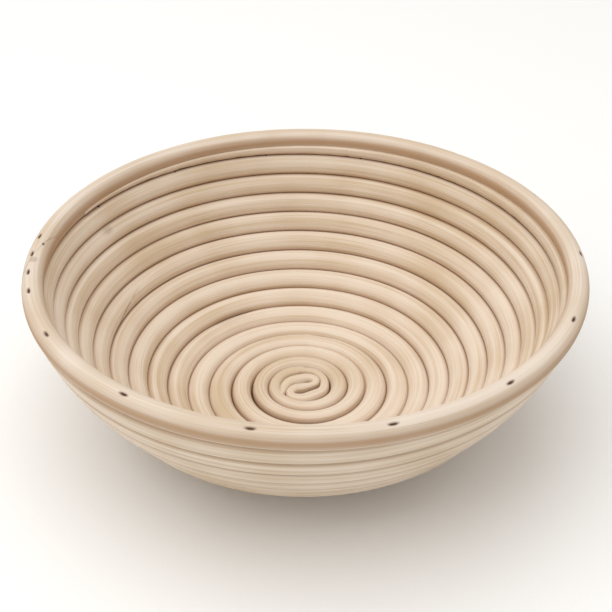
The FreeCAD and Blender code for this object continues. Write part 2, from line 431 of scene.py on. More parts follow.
def noise_value(
    tree: bpy.types.NodeTree, place: bpy.types.NodeSocket, scale: float, detail: float,
    roughness: float = 0.5,
) -> bpy.types.NodeSocket:
    """Adds a noise pattern and gives its value, from zero to one."""
    inputs = {"Vector": place, "Scale": scale, "Detail": detail, "Roughness": roughness}
    return add_node(tree, "ShaderNodeTexNoise", None, inputs).outputs[0]


def tone_between(
    tree: bpy.types.NodeTree, value: bpy.types.NodeSocket, ends: tuple[float, float],
    tones: tuple[str, str],
) -> bpy.types.NodeSocket:
    """Adds a ramp from one tone to another, and gives its colour.

    Args:
        tree: The material's tree.
        value: The pattern that chooses the tone.
        ends: The values at which the first tone stops and the second begins.
        tones: Both tones in hex.

    Returns:
        The colour.
    """
    ramp = add_node(tree, "ShaderNodeValToRGB", None, {0: value})
    for element, position, tone in zip(ramp.color_ramp.elements, ends, tones):
        element.position = position
        element.color = linear(tone)
    return ramp.outputs[0]


def relief_of(
    tree: bpy.types.NodeTree, height: bpy.types.NodeSocket, strength: float, depth: float
) -> bpy.types.NodeSocket:
    """Adds fine relief that follows a pattern, and gives its normal."""
    inputs = {"Strength": strength, "Distance": depth, "Height": height}
    return add_node(tree, "ShaderNodeBump", None, inputs).outputs[0]


def coat(tree: bpy.types.NodeTree, inputs: dict[Union[str, int], Value]) -> None:
    """Adds the surface shader with these inputs and joins it to the material's output."""
    shader = add_node(tree, "ShaderNodeBsdfPrincipled", None, inputs)
    add_node(tree, "ShaderNodeOutputMaterial", None, {0: shader.outputs[0]})


class Shade(Enum):
    """The two tones of cane that the basket is wound from, light and deep, and a brown painted shade for the
    creases where turns press.
    """

    COIL = ("E5D5C3", "CDB697", "A06E40")
    RIM = ("E3D4C4", "CFB99F", "AB8156")


@dataclass(frozen=True)
class PithFinish:
    """Rattan pith, peeled, steamed, bent and sanded.

    The peeled core of the vine shows fine straight vessels all along it, a matt chalky skin, and
    cream patches that go tan where the steam or the glue has darkened it.
    """

    name: str
    shade: Shade
    vessel_width: float = 0.45 * MM
    vessel_length: float = 60.0 * MM
    patch_size: float = 45.0 * MM
    roughness: float = 0.72
    roughness_range: float = 0.16
    grain_relief: float = 0.09 * MM
    tone_ends: tuple[float, float] = (0.40, 0.56)
    # Brown of the stains, also laid on as painted shade along torn edges and on a flat patch of the base.
    stain_and_shade_tone: str = "4E2A16"

    def build(self) -> bpy.types.Material:
        """Makes the material.

        Returns:
            The material, which reads the cane's own map in metres, its stains with some painted shade among
            them, and its painted crease shade.
        """
        light_tone, deep_tone, crease_shade_tone = self.shade.value
        material = blank_material(self.name)
        tree = material.node_tree
        along = add_node(tree, "ShaderNodeUVMap", {"uv_map": "UVMap"}).outputs[0]
        place = add_node(tree, "ShaderNodeTexCoord").outputs["Object"]

        def streaks(length: float, width: float) -> bpy.types.NodeSocket:
            """The cane's map, scaled so that noise makes streaks of this length and width."""
            inputs = {0: along, "Scale": (1 / length, 1 / width, 1.0)}
            return add_node(tree, "ShaderNodeMapping", None, inputs).outputs[0]

        # Vessels: long thin streaks that follow the cane, in wider bands of the same kind.
        vessels = noise_value(tree, streaks(self.vessel_length, self.vessel_width), 1.0, 4.0, 0.6)
        bands = noise_value(tree, streaks(4 * self.vessel_length, 5 * self.vessel_width), 1.0, 2.0)
        # Patches: slow changes of tone from one stretch of cane to the next.
        patches = noise_value(tree, place, 1 / self.patch_size, 2.0)
        tone = Formula(tree, vessels) * 0.34 + Formula(tree, bands) * 0.36
        tone = tone + Formula(tree, patches) * 0.3
        skin = tone_between(tree, tone.socket, self.tone_ends, (deep_tone, light_tone))
        # Painted shade: the sides that press on the next turn are tinted brown, standing in for the shade in
        # the creases between turns.
        crease_shade = add_node(tree, "ShaderNodeAttribute", {"attribute_name": "crease_shade"})
        crease_shaded = add_node(
            tree, "ShaderNodeMix", {"data_type": "RGBA"},
            {0: crease_shade.outputs["Fac"], 6: skin, 7: linear(crease_shade_tone)},
        )
        # Stains: rust and damp round the brads, splits and torn ends, with painted shade in the same brown
        # along the torn edge of the tail and on a flat patch of the base.
        stain_and_shade = add_node(tree, "ShaderNodeAttribute", {"attribute_name": "stain_and_shade"})
        uneven = Formula(tree, stain_and_shade.outputs["Fac"]) * (Formula(tree, vessels) * 0.9 + 0.6)
        stained_and_shaded = add_node(
            tree, "ShaderNodeMix", {"data_type": "RGBA"},
            {0: uneven.clamp(0.0, 1.0).socket, 6: crease_shaded.outputs[2], 7: linear(self.stain_and_shade_tone)},
        )
        rough = Formula(tree, bands) * self.roughness_range + (self.roughness - self.roughness_range / 2)
        coat(tree, {
            "Base Color": stained_and_shaded.outputs[2],
            "Roughness": rough.socket,
            "Normal": relief_of(tree, vessels, 0.8, self.grain_relief),
            "Specular IOR Level": 0.3,
            "IOR": 1.46,
        })
        return material


@dataclass(frozen=True)
class BradFinish:
    """Drawn steel wire, cut into brads and gone brown in the damp of the dough.

    Dull grey metal with rust that gathers in spots, darker than the wood round it.
    """

    name: str = "steel_drawn_rusted"
    spot_size: float = 0.6 * MM
    pit_depth: float = 0.04 * MM

    def build(self) -> bpy.types.Material:
        """Makes the material."""
        material = blank_material(self.name)
        tree = material.node_tree
        place = add_node(tree, "ShaderNodeTexCoord").outputs["Object"]
        spots = noise_value(tree, place, 1 / self.spot_size, 3.0)
        rough = Formula(tree, spots) * 0.5 + 0.3
        coat(tree, {
            "Base Color": tone_between(tree, spots, (0.42, 0.58), ("6E6A66", "4A2A19")),
            "Metallic": 0.8,
            "Roughness": rough.socket,
            "Normal": relief_of(tree, spots, 0.4, self.pit_depth),
        })
        return material


@dataclass(frozen=True)
class PaperFinish:
    """Matt white backdrop paper, seamless, with no more than a trace of tooth."""

    name: str = "paper_matt_backdrop"
    tooth_per_metre: float = 900.0

    def build(self) -> bpy.types.Material:
        """Makes the material."""
        material = blank_material(self.name)
        tree = material.node_tree
        place = add_node(tree, "ShaderNodeTexCoord").outputs["Object"]
        tooth = noise_value(tree, place, self.tooth_per_metre, 2.0)
        tone = tone_between(tree, tooth, (0.0, 1.0), ("F6F6F5", "FAFAF9"))
        coat(tree, {"Base Color": tone, "Roughness": 0.95, "Specular IOR Level": 0.1})
        return material


# ---------------------------------------------------------------- how a length of cane is swept


# A cut this far from the middle of a cane leaves its section whole.
FAR = 1.0
# Every number of a station, with its value on a plain cane that is uncut and follows the rule.
# Low and high are cuts across the section, cap closes an end, and drift is the share of the
# coil's shift away from the ring's axis.
PLAIN_CANE = {
    "guided": 0.0, "half_width": 0.0, "half_height": 0.0, "boxy": 0.0, "low": -FAR, "high": FAR,
    "ragged": 0.0, "cap": 1.0, "along": 0.0, "drift": 0.0,
}


@dataclass
class Stations:
    """Places along a length of cane, with the cane's section at each of them."""

    turn: np.ndarray
    guide: np.ndarray = field(default=None)
    side: np.ndarray = field(default=None)
    guided: np.ndarray = field(default=None)
    half_width: np.ndarray = field(default=None)
    half_height: np.ndarray = field(default=None)
    boxy: np.ndarray = field(default=None)
    low: np.ndarray = field(default=None)
    high: np.ndarray = field(default=None)
    ragged: np.ndarray = field(default=None)
    cap: np.ndarray = field(default=None)
    along: np.ndarray = field(default=None)
    drift: np.ndarray = field(default=None)

    def __post_init__(self) -> None:
        """Fills what wasn't given with a plain, uncut, unguided cane."""
        count = len(self.turn)
        for name, value in PLAIN_CANE.items():
            if getattr(self, name) is None:
                setattr(self, name, np.full(count, value))
        if self.guide is None:
            self.guide = np.zeros((count, 3))
        if self.side is None:
            self.side = np.tile((1.0, 0.0, 0.0), (count, 1))

    def close_ends(self) -> None:
        """Draws both ends in to a point over a few extra places, so that the ends are closed."""
        scales = np.array([0.0, 0.55, 0.85, 0.97])
        for name in ("turn", "guide", "side", *PLAIN_CANE):
            values = getattr(self, name)
            first = np.repeat(values[:1], len(scales), axis=0)
            last = np.repeat(values[-1:], len(scales), axis=0)
            if name == "cap":
                first = scales
                last = scales[::-1]
            setattr(self, name, np.concatenate([first, values, last]))

    def as_object(self, name: str) -> bpy.types.Object:
        """Stores the places as the vertices of an object, with a value each for every field."""
        mesh = bpy.data.meshes.new(name)
        mesh.from_pydata([tuple(point) for point in self.guide], [], [])
        side = mesh.attributes.new("side", "FLOAT_VECTOR", "POINT")
        side.data.foreach_set("vector", self.side.astype(np.float32).ravel())
        for key in ("turn", *PLAIN_CANE):
            values = mesh.attributes.new(key, "FLOAT", "POINT")
            values.data.foreach_set("value", getattr(self, key).astype(np.float32))
        return link_object(name, mesh)


# Noise along a cane: how many waves to the metre, and where in the noise it starts.
FULLNESS_WAVE = (9.0, 0.3)
SIDEWAYS_WAVE = (14.0, 5.1)
UPWARD_WAVE = (11.0, 9.4)
COARSE_TEAR = (90.0, 2.2)
FINE_TEAR = (420.0, 7.7)
RIPPLE_WAVE = (30.0, 4.0)
RIPPLE_AROUND = 2.0
# The ripple is a share of the section: well under a micrometre on the skin.
RIPPLE = 0.00007
TEAR_FOCUS = 3.0
SANDED_ROUNDING = 1.4 * MM
# Painted crease shade: how narrow it is on the sides where turns touch, and how dark it gets.
CREASE_SHADE_FOCUS = 7.0
CREASE_SHADE_STRENGTH = 0.7
MERGE_DISTANCE = 1e-6


@dataclass
class CaneSweeper:
    """Geometry Nodes that lay a cane along the rule of the coil and give it its section.

    The tree moves each station to its place on the coil, or leaves it at its guide, and then rolls
    a grid into a closed skin round the stations.
    """

    law: BowlLaw
    tree: bpy.types.NodeTree = field(init=False)

    def __post_init__(self) -> None:
        """Builds the tree once; every length of cane uses it."""
        self.tree = bpy.data.node_groups.new("cane_along_the_coil", "GeometryNodeTree")
        name_sockets(self.tree, ("Stations", "Sides"), self._sizes())
        self._nodes()

    def _sizes(self) -> dict[str, float]:
        """The named sizes that the rule takes."""
        law = self.law
        return {
            "Start azimuth": law.start_azimuth,
            "Base pitch": law.base_pitch,
            "Wall pitch": law.wall_pitch,
            "Splice turn": law.splice_turn,
            "Flat radius": law.flat_radius,
            "Knuckle radius": law.knuckle_radius,
            "Knuckle slope": law.knuckle_slope,
            "Knuckle end": law.knuckle_end,
            "Wall sweep": law.wall_sweep,
            "Top slope": law.top_slope,
            "Seat distance": law.seat_distance,
            "Base plane": law.base_plane,
            "Lowest": 0.0,
            "Highest": law.total_height,
            "Sanded outside": 0.0,
            "Pressed": 0.12 * MM,
            "Flattened": 0.30,
            "Drift X": law.coil_shift[0],
            "Drift Y": law.coil_shift[1],
            "Unevenness": 0.0,
            "Wander": 0.0,
            "Seed": 0.0,
        }

    def _size(self, name: str) -> Formula:
        """One of the tree's named sizes, as a formula."""
        return Formula(self.tree, self.start.outputs[name])

    def _stored(self, name: str, kind: str = "FLOAT") -> bpy.types.NodeSocket:
        """A value that the stations hold."""
        node = add_node(self.tree, "GeometryNodeInputNamedAttribute", {"data_type": kind}, {0: name})
        return node.outputs[0]

    def _law_frame(self, turn: Formula) -> tuple[Arrow, Arrow, Arrow]:
        """Where the rule puts a turn: its place, the way across to the next turn, and the way up.

        Args:
            turn: The turn of the coil.

        Returns:
            Place, across and lift.
        """
        size = self._size
        mixed = (size("Base pitch") + size("Wall pitch")) * 0.5
        beyond = turn - size("Splice turn")
        distance = turn.math("MINIMUM", size("Splice turn")) * size("Base pitch")
        distance = distance + beyond.clamp(0.0, 1.0) * mixed
        distance = distance + (beyond - 1.0).math("MAXIMUM", 0.0) * size("Wall pitch")
        bent = ((distance - size("Flat radius")) / size("Knuckle radius")).clamp(0.0, size("Knuckle slope"))
        swept = size("Knuckle slope") + (distance - size("Knuckle end")) / size("Wall sweep")
        swept = swept.clamp(size("Knuckle slope"), size("Top slope"))
        straight = (distance - size("Seat distance")).math("MAXIMUM", 0.0)
        slope = bent + swept - size("Knuckle slope")
        radius = distance.math("MINIMUM", size("Flat radius")) + size("Knuckle radius") * bent.math("SINE")
        reach = swept.math("SINE") - size("Knuckle slope").math("SINE")
        radius = radius + size("Wall sweep") * reach + straight * slope.math("COSINE")
        rise = (bent.math("COSINE") * -1.0 + 1.0) * size("Knuckle radius")
        climb = size("Knuckle slope").math("COSINE") - swept.math("COSINE")
        height = size("Base plane") + rise + size("Wall sweep") * climb + straight * slope.math("SINE")
        azimuth = size("Start azimuth") + turn * (2 * math.pi)
        east = azimuth.math("COSINE")
        north = azimuth.math("SINE")
        level = slope.math("COSINE")
        steep = slope.math("SINE")
        place = arrow_of(radius * east, radius * north, height)
        across = arrow_of(east * level, north * level, steep)
        lift = arrow_of(east * steep * -1.0, north * steep * -1.0, level)
        return place, across, lift

    def _nodes(self) -> None:
        """Builds the tree's nodes."""
        tree = self.tree
        self.start = add_node(tree, "NodeGroupInput")
        turn = Formula(tree, self._stored("turn"))
        place, across, lift = self._law_frame(turn)
        guided = Formula(tree, self._stored("guided"))
        here = Arrow(tree, add_node(tree, "GeometryNodeInputPosition").outputs[0])
        side = Arrow(tree, self._stored("side", "FLOAT_VECTOR"))
        upright = Arrow(tree, (0.0, 0.0, 1.0))
        place = place + (here - place) * guided
        drift = Formula(tree, self._stored("drift"))
        place = place + arrow_of(self._size("Drift X"), self._size("Drift Y"), drift * 0.0) * drift
        across = (across + (side - across) * guided).unit()
        lift = (lift + (upright - lift) * guided).unit()
        laid = add_node(
            tree, "GeometryNodeSetPosition", None, {0: self.start.outputs[0], "Position": place.socket}
        )
        ready = self._remember(laid.outputs[0], "across", across.socket, "FLOAT_VECTOR")
        ready = self._remember(ready, "lift", lift.socket, "FLOAT_VECTOR")
        self._roll_skin(ready)

    def _remember(
        self, geometry: bpy.types.NodeSocket, name: str, value: Value, kind: str, domain: str = "POINT"
    ) -> bpy.types.NodeSocket:
        """Stores a value on the geometry under a name.

        Args:
            geometry: What to store it on.
            name: Its name.
            value: The value.
            kind: Its data type.
            domain: Where it is kept.

        Returns:
            The geometry with the value.
        """
        settings = {"data_type": kind, "domain": domain}
        inputs = {0: geometry, "Name": name, "Value": value}
        return add_node(self.tree, "GeometryNodeStoreNamedAttribute", settings, inputs).outputs[0]

    def _roll_skin(self, stations: bpy.types.NodeSocket) -> None:
        """Rolls a grid round the stations into the skin of the cane.

        Args:
            stations: The stations, each with its place, across and lift.
        """
        tree = self.tree
        sides = self._size("Sides")
        grid = add_node(
            tree, "GeometryNodeMeshGrid", None,
            {"Vertices X": self.start.outputs["Stations"], "Vertices Y": (sides + 1.0).socket},
        )
        index = Formula(tree, add_node(tree, "GeometryNodeInputIndex").outputs[0])
        row = ((index + 0.5) / (sides + 1.0)).math("FLOOR")
        column = index - row * (sides + 1.0)
        angle = column / sides * (2 * math.pi)

        def sampled(value: bpy.types.NodeSocket, kind: str = "FLOAT") -> bpy.types.NodeSocket:
            """The value at this row's station."""
            settings = {"data_type": kind, "domain": "POINT"}
            inputs = {"Geometry": stations, "Value": value, "Index": row.socket}
            return add_node(tree, "GeometryNodeSampleIndex", settings, inputs).outputs[0]

        def number(name: str) -> Formula:
            """A stored number at this row's station."""
            return Formula(tree, sampled(self._stored(name)))

        along = number("along")
        seed = self._size("Seed")

        def noise(wave: tuple[float, float], around: float = 0.0) -> Formula:
            """Smooth noise along the cane and round it, between minus one and one."""
            per_metre, offset = wave
            spun = (angle.math("COSINE") * around, angle.math("SINE") * around)
            reach = arrow_of(*spun, along * per_metre)
            node = add_node(
                tree, "ShaderNodeTexNoise", {"noise_dimensions": "4D"},
                {"Vector": reach.socket, "W": (seed + offset).socket, "Scale": 1.0, "Detail": 2.0},
            )
            return (Formula(tree, node.outputs[0]) - 0.5) * 2.0

        fullness = noise(FULLNESS_WAVE) * self._size("Unevenness") + 1.0
        power = number("boxy").math("MAXIMUM", self._size("Flattened")) * -0.5 + 1.0
        wide = angle.math("COSINE")
        tall = angle.math("SINE")
        wide = wide.math("ABSOLUTE").math("POWER", power) * wide.math("SIGN")
        tall = tall.math("ABSOLUTE").math("POWER", power) * tall.math("SIGN")
        half_width = number("half_width") * fullness + self._size("Pressed")
        half_height = number("half_height") * fullness
        # A torn edge eats into the side that faces the turn before.
        tear = noise(FINE_TEAR).math("ABSOLUTE") + noise(COARSE_TEAR).math("ABSOLUTE")
        torn = number("ragged") * tear * (wide * -1.0).clamp(0.0, 1.0).math("POWER", TEAR_FOCUS)
        bite = torn * -1.0 + 1.0
        flow = noise(SIDEWAYS_WAVE) * self._size("Wander")
        low = number("low")
        high = number("high")
        x = (half_width * wide * bite).clamp(low, high)
        # Where a scarf cuts the section, its skin lies on the chord of the cut.
        share = (x.math("ABSOLUTE") / half_width).clamp(0.0, 1.0).math("LOGARITHM", math.e) / power
        share = share.math("EXPONENT")
        chord = (share * share * -1.0 + 1.0).math("MAXIMUM", 0.0).math("POWER", power * 0.5)
        tallest = half_height * chord
        low_side = low.math("MAXIMUM", half_width * -1.0)
        middle = (low_side + high.math("MINIMUM", half_width)) * 0.5
        floor = half_height * -1.0 + self._size("Sanded outside")
        y = (half_height * tall).clamp(tallest * -1.0, tallest).math(
            "SMOOTH_MAX", floor, SANDED_ROUNDING
        )
        cap = number("cap")
        x = middle + (x - middle) * cap + flow
        y = y * cap + noise(UPWARD_WAVE) * self._size("Wander") * 0.5
        place = Arrow(tree, sampled(add_node(tree, "GeometryNodeInputPosition").outputs[0], "FLOAT_VECTOR"))
        across = Arrow(tree, sampled(self._stored("across", "FLOAT_VECTOR"), "FLOAT_VECTOR"))
        lift = Arrow(tree, sampled(self._stored("lift", "FLOAT_VECTOR"), "FLOAT_VECTOR"))
        relief = noise(RIPPLE_WAVE, RIPPLE_AROUND) * RIPPLE + 1.0
        skin = place + across * (x * relief) + lift * (y * relief)
        parts = add_node(tree, "ShaderNodeSeparateXYZ", None, {0: skin.socket})
        height = Formula(tree, parts.outputs[2]).clamp(self._size("Lowest"), self._size("Highest"))
        skin = arrow_of(Formula(tree, parts.outputs[0]), Formula(tree, parts.outputs[1]), height)
        rolled = add_node(
            tree, "GeometryNodeSetPosition", None, {0: grid.outputs[0], "Position": skin.socket}
        ).outputs[0]
        # The map is stored on points first, because a face corner has an index of its own.
        flat = arrow_of(along, angle * half_height, angle * 0.0)
        rolled = self._remember(rolled, "laid_out", flat.socket, "FLOAT_VECTOR")
        laid_out = self._stored("laid_out", "FLOAT_VECTOR")
        rolled = self._remember(rolled, "UVMap", laid_out, "FLOAT2", "CORNER")
        # Painted shade: a share for the sides of the section that face the turns beside it, which the finish
        # tints brown as crease shade.
        crease_shade = angle.math("COSINE").math("ABSOLUTE").math("POWER", CREASE_SHADE_FOCUS) * CREASE_SHADE_STRENGTH
        rolled = self._remember(rolled, "crease_shade", crease_shade.socket, "FLOAT")
        # The torn share is kept, and later painted as a brown shadow along the torn edge.
        rolled = self._remember(rolled, "torn", torn.socket, "FLOAT")
        closed = add_node(tree, "GeometryNodeMergeByDistance", None, {0: rolled, "Distance": MERGE_DISTANCE})
        smooth = add_node(tree, "GeometryNodeSetShadeSmooth", None, {0: closed.outputs[0]})
        real = add_node(tree, "GeometryNodeRealizeInstances", None, {0: smooth.outputs[0]})
        dressed = add_node(
            tree, "GeometryNodeSetMaterial", None,
            {0: real.outputs[0], "Material": self.start.outputs["Material"]},
        )
        add_node(tree, "NodeGroupOutput", None, {0: dressed.outputs[0]})

    def sweep(
        self,
        name: str,
        stations: Stations,
        material: bpy.types.Material,
        sides: int,
        sizes: dict[str, float],
    ) -> bpy.types.Object:
        """Sweeps one length of cane into a plain mesh.

        Args:
            name: The piece's name.
            stations: The places along it.
            material: Its finish.
            sides: Faces round the cane.
            sizes: Named sizes of the tree that differ from the rule's own.

        Returns:
            The piece, at the origin, with no modifier left.
        """
        stations.close_ends()
        seedling = stations.as_object(name + "_stations")
        inputs: dict[str, Value] = {"Material": material, "Stations": len(stations.turn), "Sides": sides}
        inputs.update(sizes)
        return grow(seedling, self.tree, inputs, name)


SHARP_ANGLE = math.radians(48.0)


def grow(
    seedling: bpy.types.Object, tree: bpy.types.NodeTree, inputs: dict[str, Value], name: str
) -> bpy.types.Object:
    """Runs a node tree on an object and keeps the result as a plain mesh of its own.

    Args:
        seedling: The object that the tree starts from; it is removed.
        tree: The tree.
        inputs: Values for the tree's inputs, by name.
        name: The new piece's name.

    Returns:
        The new piece, at the origin, with its faces pointing outwards.
    """
    modifier = seedling.modifiers.new("grow", "NODES")
    modifier.node_group = tree
    for item in tree.interface.items_tree:
        if item.item_type == "SOCKET" and item.in_out == "INPUT" and item.name in inputs:
            modifier[item.identifier] = inputs[item.name]
    seedling.update_tag()
    bpy.context.view_layer.update()
    evaluated = seedling.evaluated_get(bpy.context.evaluated_depsgraph_get())
    mesh = bpy.data.meshes.new_from_object(evaluated)
    mesh.name = name
    seedling.modifiers.clear()
    bpy.data.objects.remove(seedling)
    if volume_of(mesh) < 0:
        mesh.flip_normals()
    mesh.set_sharp_from_angle(angle=SHARP_ANGLE)
    return link_object(name, mesh)


# ---------------------------------------------------------------- marks on the cane


# How strongly a torn edge is darkened with painted shadow, and the most that it can be.
TORN_EDGE_SHADOW = 1.6
MOST_TORN_EDGE_SHADOW = 0.35


@dataclass(frozen=True)
class Mark:
    """A dent, nick or smudge on the skin of a cane."""

    azimuth: float
    radius: float
    height: float
    half_length: float
    half_width: float
    depth: float = 0.0
    stain_and_shade: float = 0.0
    tilt: float = 0.0

    def press(self, points: np.ndarray, normals: np.ndarray, stain_and_shade: np.ndarray) -> None:
        """Presses the mark into the skin and adds its darkening: stains for most marks, painted shade for
        the flat patch of the base.

        Args:
            points: Places of the vertices, changed in place.
            normals: Their outward normals.
            stain_and_shade: Their stains and painted shade, changed in place.
        """
        angle = math.radians(self.azimuth)
        outward = np.array([math.cos(angle), math.sin(angle), 0.0])
        along = np.array([-math.sin(angle), math.cos(angle), 0.0])
        away = points - (outward * self.radius + np.array([0.0, 0.0, self.height]))
        turned = math.radians(self.tilt)
        ahead = away @ along
        aside = away @ outward
        rise = away @ np.array([0.0, 0.0, 1.0])
        length = ahead * math.cos(turned) + aside * math.sin(turned)
        width = np.hypot(aside * math.cos(turned) - ahead * math.sin(turned), rise * 0.8)
        near = np.hypot(length / self.half_length, width / self.half_width)
        strength = 1.0 - smooth_step(near, 0.55, 1.15)
        points -= normals * (strength * self.depth)[:, None]
        np.maximum(stain_and_shade, strength * self.stain_and_shade, out=stain_and_shade)


def press_marks(piece: bpy.types.Object, marks: Sequence[Mark]) -> None:
    """Presses marks into a piece and stores the darkening that its finish reads: stains, and painted shade
    along torn edges and on a flat patch.

    Args:
        piece: The piece.
        marks: The marks.
    """
    mesh = piece.data
    points = read_points(mesh)
    normals = np.zeros(len(mesh.vertices) * 3, np.float32)
    mesh.vertex_normals.foreach_get("vector", normals)
    normals = normals.reshape(-1, 3)
    stain_and_shade = np.zeros(len(mesh.vertices), np.float32)
    # Painted shadow: the torn edge is darkened in the stains' brown, standing in for a shadow along it.
    torn = mesh.attributes.get("torn")
    if torn is not None:
        torn.data.foreach_get("value", stain_and_shade)
        stain_and_shade = np.clip(stain_and_shade * TORN_EDGE_SHADOW, 0.0, MOST_TORN_EDGE_SHADOW)
    for mark in marks:
        mark.press(points, normals, stain_and_shade)
    mesh.vertices.foreach_set("co", points.ravel())
    stored = mesh.attributes.new("stain_and_shade", "FLOAT", "POINT")
    stored.data.foreach_set("value", stain_and_shade)
    mesh.update()


# ---------------------------------------------------------------- the three canes


@dataclass(frozen=True)
class Knot:
    """A place along the folded start: where the middle of the shaved cane lies, and its width."""

    x: float
    y: float
    width: float


@dataclass
class BaseCane:
    """The first cane: folded over itself in the middle, then wound into the flat base."""

    law: BowlLaw
    sweeper: CaneSweeper
    finish: PithFinish
    sides: int = 40
    steps_per_turn: int = 220
    shaved_relief: float = 0.2 * MM
    name: str = "base_cane_wound"
    # From the tapered free end, over the first eye, back between the eyes, and round the second.
    fold: tuple[Knot, ...] = (
        Knot(-10.4, -7.6, 1.2), Knot(-9.5, -3.6, 3.4), Knot(-8.8, 0.2, 4.8), Knot(-6.4, 4.2, 6.0),
        Knot(-2.2, 6.3, 7.0), Knot(2.3, 7.2, 5.8), Knot(5.6, 5.6, 4.8), Knot(6.0, 2.8, 4.0),
        Knot(3.9, 0.9, 3.8), Knot(0.1, -0.2, 5.2), Knot(-3.8, -1.3, 5.4), Knot(-6.0, -4.4, 4.6),
        Knot(-4.6, -7.6, 4.8), Knot(0.0, -8.2, 6.2), Knot(4.8, -5.8, 6.4), Knot(8.8, -3.0, 5.4),
        Knot(10.2, 1.2, 4.6), Knot(9.6, 6.2, 4.1), Knot(5.8, 11.0, 4.2), Knot(0.4, 12.4, 4.0),
    )
    first_edge_turn: float = 0.5
    knots_per_turn: int = 16
    fold_step: float = 0.45 * MM
    unevenness: float = 0.012
    wander: float = 0.12 * MM
    seed: float = 3.0

    def knots(self) -> np.ndarray:
        """All places along the guided part: x, y and half width, in metres."""
        centre = np.array(self.law.fold_centre)
        rows = [(*(np.array([knot.x, knot.y]) * MM + centre), knot.width * MM / 2) for knot in self.fold]
        turns = np.arange(self.first_edge_turn, self.law.full_turn, 1 / self.knots_per_turn)
        outer = self.law.outer_edge(turns)
        azimuth = self.law.azimuth(turns)
        middle = self.law.fold_centre[0] * np.cos(azimuth) + self.law.fold_centre[1] * np.sin(azimuth)
        fold_side = middle + self.law.fold_edge
        before = self.law.outer_edge(turns - 1.0)
        inner = np.where(turns - 1.0 < self.law.exit_turn, fold_side, before) + self.law.winding_gap
        radius = (outer + inner) / 2
        edges = np.c_[radius * np.cos(azimuth), radius * np.sin(azimuth), (outer - inner) / 2]
        return np.vstack([np.array(rows), edges])

    def guided_line(self, first_turn: float) -> np.ndarray:
        """A smooth line through the knots, going on into the rule of the coil.

        Args:
            first_turn: The turn at which the cane is on the rule.

        Returns:
            Rows of x, y and half width.
        """
        lead = first_turn + np.arange(0, 3) / self.knots_per_turn
        radius, _ = self.law.radius_and_height(lead)
        azimuth = self.law.azimuth(lead)
        half = np.full(3, self.law.base_cane / 2)
        rows = np.vstack([self.knots(), np.c_[radius * np.cos(azimuth), radius * np.sin(azimuth), half]])
        rows = np.vstack([2 * rows[:1] - rows[1:2], rows])
        pieces = []
        for index in range(1, len(rows) - 3):
            before, start, end, after = rows[index - 1 : index + 3]
            steps = max(6, int(np.linalg.norm((end - start)[:2]) / self.fold_step))
            part = (np.arange(steps) / steps)[:, None]
            pieces.append(0.5 * (
                2 * start + (end - before) * part
                + (2 * before - 5 * start + 4 * end - after) * part ** 2
                + (3 * start - before - 3 * end + after) * part ** 3
            ))
        return np.vstack(pieces)

    def stations(self) -> Stations:
        """The places along the base cane, from its free end to its splice.

        Returns:
            The stations.
        """
        law = self.law
        first_turn = law.full_turn
        line = self.guided_line(first_turn)
        ahead = np.gradient(line[:, :2], axis=0)
        ahead /= np.linalg.norm(ahead, axis=1)[:, None]
        side = np.c_[ahead[:, 1], -ahead[:, 0], np.zeros(len(line))]
        last_turn = law.splice_turn + law.half_splice()
        count = int((last_turn - first_turn) * self.steps_per_turn)
        coil = np.linspace(first_turn, last_turn, count)
        spent = np.r_[0.0, np.cumsum(np.linalg.norm(np.diff(line[:, :2], axis=0), axis=1))]
        radius, _ = law.radius_and_height(coil)
        paid = np.r_[0.0, np.cumsum(radius[1:] * 2 * math.pi * np.diff(coil))]
        full = law.base_cane / 2
        half_width = np.r_[line[:, 2], law.even_half_width(coil)]
        height = np.where(half_width < 0.93 * full, full - self.shaved_relief, full)
        lead = 1.0 - smooth_step(half_width, 0.35 * full, 0.97 * full)
        cut = (coil - law.splice_turn) / law.half_splice()
        high = np.where(cut < -1.0, FAR, -cut * full)
        guide = np.zeros((len(half_width), 3))
        guide[: len(line), :2] = line[:, :2]
        guide[:, 2] = law.base_plane
        return Stations(
            turn=np.r_[np.full(len(line), first_turn), coil],
            guide=guide,
            side=np.vstack([side, np.tile((1.0, 0.0, 0.0), (count, 1))]),
            guided=np.r_[np.ones(len(line)), np.zeros(count)],
            half_width=half_width,
            half_height=height,
            boxy=lead * 0.9,
            drift=np.r_[smooth_step(spent / spent[-1], 0.35, 0.95), np.ones(count)],
            high=np.r_[np.full(len(line), FAR), high],
            along=np.r_[spent, spent[-1] + paid],
        )

    def build(self) -> bpy.types.Object:
        """Builds and dresses the cane.

        Returns:
            The piece.
        """
        sizes = {"Unevenness": self.unevenness, "Wander": self.wander, "Seed": self.seed}
        piece = self.sweeper.sweep(self.name, self.stations(), self.finish.build(), self.sides, sizes)
        press_marks(piece, self.marks())
        return piece

    def marks(self) -> list[Mark]:
        """A small nick with a smudge on the base, and a long shallow flat patch darkened with painted shade.
        """
        top = self.law.base_plane + self.law.base_cane / 2
        return [
            Mark(119.0, 86.0 * MM, 22.0 * MM, 1.2 * MM, 3.0 * MM, 0.3 * MM, 0.25, 60.0),
            # Painted shade: the long shallow flat patch is darkened a little, as its facet is shaded.
            Mark(128.0, 60.0 * MM, top + 2.0 * MM, 14.0 * MM, 3.5 * MM, 0.2 * MM, 0.10),
        ]


